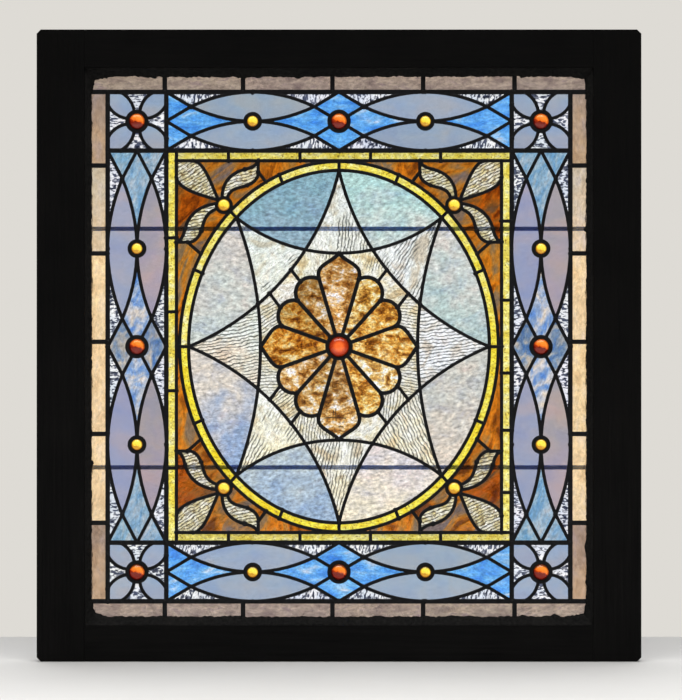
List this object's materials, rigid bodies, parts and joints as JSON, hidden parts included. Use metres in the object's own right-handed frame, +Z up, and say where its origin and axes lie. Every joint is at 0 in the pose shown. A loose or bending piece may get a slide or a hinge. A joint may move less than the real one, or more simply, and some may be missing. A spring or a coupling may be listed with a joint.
{
  "type": "stained glass window",
  "caption": "Leaded stained glass window in a dark wooden sash, with jewelled border bands, an oval ring, a star and a petalled flower.",
  "frame": {"origin": "middle of the sash's bottom edge, half way through its thickness", "axes": "+Z up the window, +X to the right seen from the front, front faces -Y"},
  "size_m": [0.874, 0.035, 0.9135],
  "materials": {
    "frame_wood": "near-black stained and varnished, worn at the corners",
    "glazing_putty": "old blackened linseed putty, ragged",
    "saddle_bar_iron": "dark round iron bar",
    "lead_came": "blackened lead came with soldered joints",
    "amber_streaky_glass": "wispy amber, brown and white",
    "white_ripple_glass": "white and cream, rippled",
    "blue_opal_glass": "pale blue and lavender opalescent",
    "red_jewel": "pressed jewel",
    "orange_jewel": "pressed jewel",
    "gold_jewel": "pressed jewel",
    "rose_border_glass": "greyed rose opalescent",
    "peach_border_glass": "peach opalescent",
    "lavender_glass": "smooth lavender opalescent",
    "sky_blue_glass": "streaky sky blue",
    "yellow_pebbled_glass": "pebbled yellow",
    "brown_amber_glass": "streaky brown amber"
  },
  "bodies": {
    "root": {"flower_petal_e": "amber_streaky_glass", "flower_petal_lower_ne": "amber_streaky_glass", "flower_petal_lower_nw": "amber_streaky_glass", "flower_petal_lower_se": "amber_streaky_glass", "flower_petal_lower_sw": "amber_streaky_glass", "flower_petal_n": "amber_streaky_glass", "flower_petal_s": "amber_streaky_glass", "flower_petal_upper_ne": "amber_streaky_glass", "flower_petal_upper_nw": "amber_streaky_glass", "flower_petal_upper_se": "amber_streaky_glass", "flower_petal_upper_sw": "amber_streaky_glass", "flower_petal_w": "amber_streaky_glass", "frame_rail_bottom": "frame_wood", "frame_rail_top": "frame_wood", "frame_stile_left": "frame_wood", "frame_stile_right": "frame_wood", "glazing_putty": "glazing_putty", "jewel_bottom_band_left": "gold_jewel", "jewel_bottom_band_right": "gold_jewel", "jewel_bottom_middle": "orange_jewel", "jewel_centre": "red_jewel", "jewel_corner_bottom_left": "orange_jewel", "jewel_corner_bottom_right": "orange_jewel", "jewel_corner_top_left": "orange_jewel", "jewel_corner_top_right": "orange_jewel", "jewel_leaf_bottom_left": "gold_jewel", "jewel_leaf_bottom_right": "gold_jewel", "jewel_leaf_top_left": "gold_jewel", "jewel_leaf_top_right": "gold_jewel", "jewel_left_band_bottom": "gold_jewel", "jewel_left_band_top": "gold_jewel", "jewel_left_middle": "orange_jewel", "jewel_right_band_bottom": "gold_jewel", "jewel_right_band_top": "gold_jewel", "jewel_right_middle": "orange_jewel", "jewel_top_band_left": "gold_jewel", "jewel_top_band_right": "gold_jewel", "jewel_top_middle": "orange_jewel", "lead_came_matrix": "lead_came", "saddle_bar_lower": "saddle_bar_iron", "saddle_bar_upper": "saddle_bar_iron", "star_field_lower_ne": "blue_opal_glass", "star_field_lower_nw": "blue_opal_glass", "star_field_lower_se": "blue_opal_glass", "star_field_lower_sw": "blue_opal_glass", "star_field_upper_ne": "blue_opal_glass", "star_field_upper_nw": "blue_opal_glass", "star_field_upper_se": "blue_opal_glass", "star_field_upper_sw": "blue_opal_glass", "star_point_e": "white_ripple_glass", "star_point_n": "white_ripple_glass", "star_point_ne": "white_ripple_glass", "star_point_nw": "white_ripple_glass", "star_point_s": "white_ripple_glass", "star_point_se": "white_ripple_glass", "star_point_sw": "white_ripple_glass", "star_point_w": "white_ripple_glass"}
  },
  "joints": []
}
